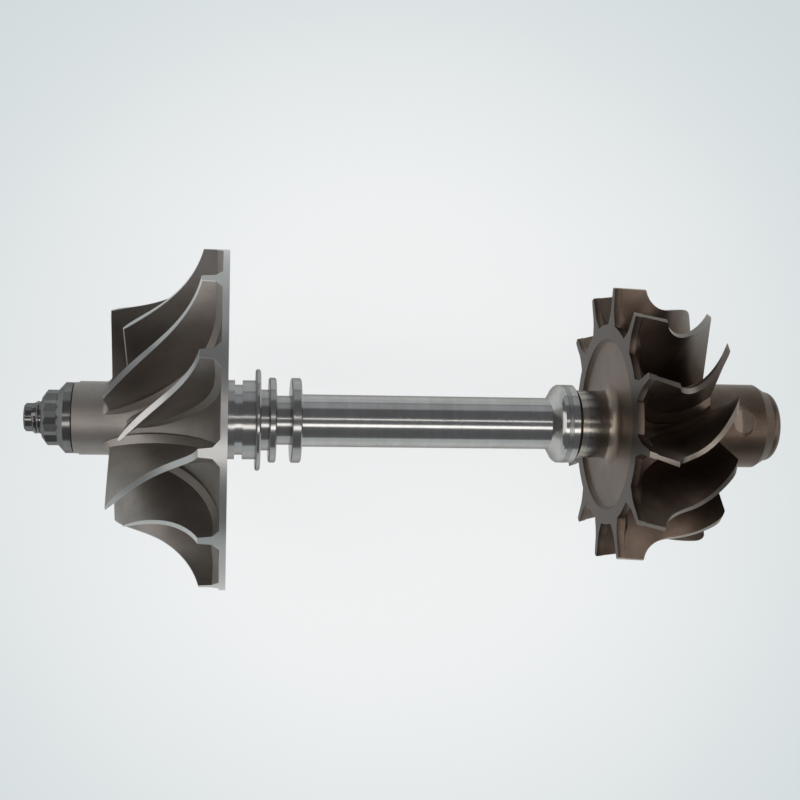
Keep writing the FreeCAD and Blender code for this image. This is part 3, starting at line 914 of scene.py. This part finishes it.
@dataclass
class Studio:
    """Floor, light and camera."""

    floor_radius: float = 9.0
    floor_sides: int = 96
    floor_gap: float = 0.02 * MM
    camera_offset: float = -0.16 * MM
    camera_height: float = 316.7 * MM
    roll_of_rotor: float = 5.0
    yaw: float = -7.982
    pitch: float = 1.010
    roll: float = 0.710
    lens: float = 55.38
    sensor: float = 36.0
    clip_start: float = 0.01
    room: Colour = (0.15, 0.155, 0.165)
    horizon: Colour = HORIZON
    horizon_rise: Span = (0.12, 0.04)
    lamps: tuple[Lamp, ...] = (
        Lamp("strip_lamp", tilt=-25.0, width=0.17, radiance=2.3),
        Lamp("thin_lamp", tilt=3.0, width=0.05, radiance=2.4),
        Lamp("side_lamp", tilt=66.0, distance=1.1, width=0.6, radiance=0.32, colour=COOL),
        Lamp("left_lamp", swing=-52.0, distance=1.1, width=1.0, length=1.0, radiance=1.1),
        Lamp("right_lamp", swing=56.0, distance=1.1, width=1.0, length=1.0, radiance=0.9),
    )

    def floor(self, height: float, slope: float) -> None:
        """Lay the floor on the plane that the wheels rest on.

        Args:
            height: Its height at the origin.
            slope: Its rise along the rotor.
        """
        bm = bmesh.new()
        bmesh.ops.create_circle(
            bm,
            cap_ends=True,
            radius=self.floor_radius,
            segments=self.floor_sides,
        )
        tilt = Matrix.Rotation(-math.atan(slope), 4, "Y")
        low = Matrix.Translation((0.0, 0.0, height - self.floor_gap))
        bmesh.ops.transform(bm, matrix=low @ tilt, verts=bm.verts)
        piece_from(bm, "floor", FloorPaint().build())

    def light(self) -> None:
        """Hang the lamps and set the room: dim, but pale at the horizon and to the camera."""
        for lamp in self.lamps:
            lamp.build()
        world = bpy.data.worlds.new("room")
        bpy.context.scene.world = world
        world.use_nodes = True
        graph = Graph(world.node_tree)
        ray = graph.node("ShaderNodeTexCoord").outputs["Generated"]
        height = Wire(graph, graph.node("ShaderNodeSeparateXYZ", {}, {0: ray}).outputs[2])
        path = graph.node("ShaderNodeLightPath").outputs
        pale = Wire(graph, path["Is Camera Ray"]).most(height.rise(*self.horizon_rise))
        colour = graph.mix(pale, self.room, self.horizon)
        background = graph.node("ShaderNodeBackground", {}, {"Color": colour, "Strength": 1.0})
        graph.node("ShaderNodeOutputWorld", {}, {"Surface": background.outputs[0]})

    def camera(self) -> None:
        """Set the camera over the rotor, where the photograph was taken from."""
        data = bpy.data.cameras.new("camera")
        data.lens = self.lens
        data.sensor_width = self.sensor
        data.clip_start = self.clip_start
        camera = bpy.data.objects.new("camera", data)
        bpy.context.scene.collection.objects.link(camera)
        lean = Matrix.Rotation(math.radians(self.roll_of_rotor), 4, "X")
        place = lean @ Vector((WHEEL_BACK + self.camera_offset, 0.0, self.camera_height))
        aim = (
            lean
            @ Matrix.Rotation(math.radians(self.yaw), 4, "Y")
            @ Matrix.Rotation(math.radians(self.pitch), 4, "X")
            @ Matrix.Rotation(math.radians(self.roll), 4, "Z")
        )
        camera.matrix_world = Matrix.Translation(place) @ aim
        bpy.context.scene.camera = camera

    def build(self, height: float, slope: float) -> None:
        """Set the stage.

        Args:
            height: The floor's height at the origin.
            slope: The floor's rise along the rotor.
        """
        bpy.context.scene.view_settings.view_transform = "Standard"
        self.floor(height, slope)
        self.light()
        self.camera()


def main() -> None:
    """Dress the rotor and set the stage."""
    logging.basicConfig(level=logging.INFO, format="%(name)s: %(message)s")
    wheels = Wheels()
    wheels.build()
    ShaftAssembly().build()
    height, slope = wheels.resting_plane()
    LOG.info("floor at %.2f mm, sloping %.2f degrees", height / MM, math.degrees(math.atan(slope)))
    Studio().build(height, slope)


if __name__ == "__main__":
    main()
